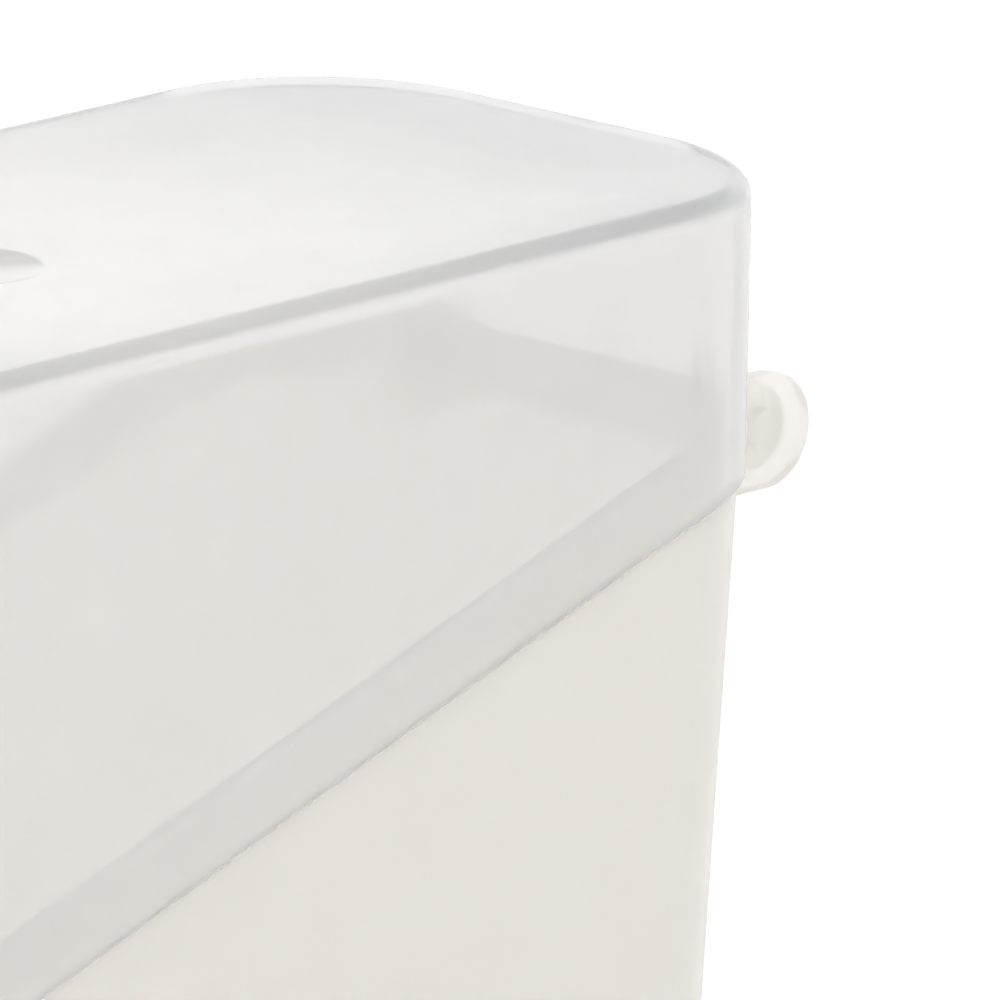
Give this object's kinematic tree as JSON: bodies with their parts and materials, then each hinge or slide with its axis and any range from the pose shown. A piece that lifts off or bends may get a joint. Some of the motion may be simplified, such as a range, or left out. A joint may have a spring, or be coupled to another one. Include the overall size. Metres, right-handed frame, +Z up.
{
  "type": "sliced cheese container",
  "caption": "Upright frosted plastic box for sliced cheese, with a slanted mouth and a deep lid that hinges open at its high end.",
  "frame": {"origin": "on the underside of the box, below the middle of the closed lid", "axes": "+X along the long side towards the hinge, +Y across the thin side, +Z up"},
  "size_m": [0.1239, 0.048, 0.1],
  "materials": {
    "box_plastic": "milky translucent moulded plastic, slightly warm",
    "lid_plastic": "frosted clear moulded plastic, slightly cool"
  },
  "bodies": {
    "box": {"box_body": "box_plastic"},
    "lid": {"flip_lid": "lid_plastic"}
  },
  "joints": [
    {"name": "lid_hinge", "type": "hinge", "parent": "box", "child": "lid", "pos_m": [0.0615, 0, 0.08015], "axis": [0, 1, 0], "range_deg": [0, 200]}
  ]
}
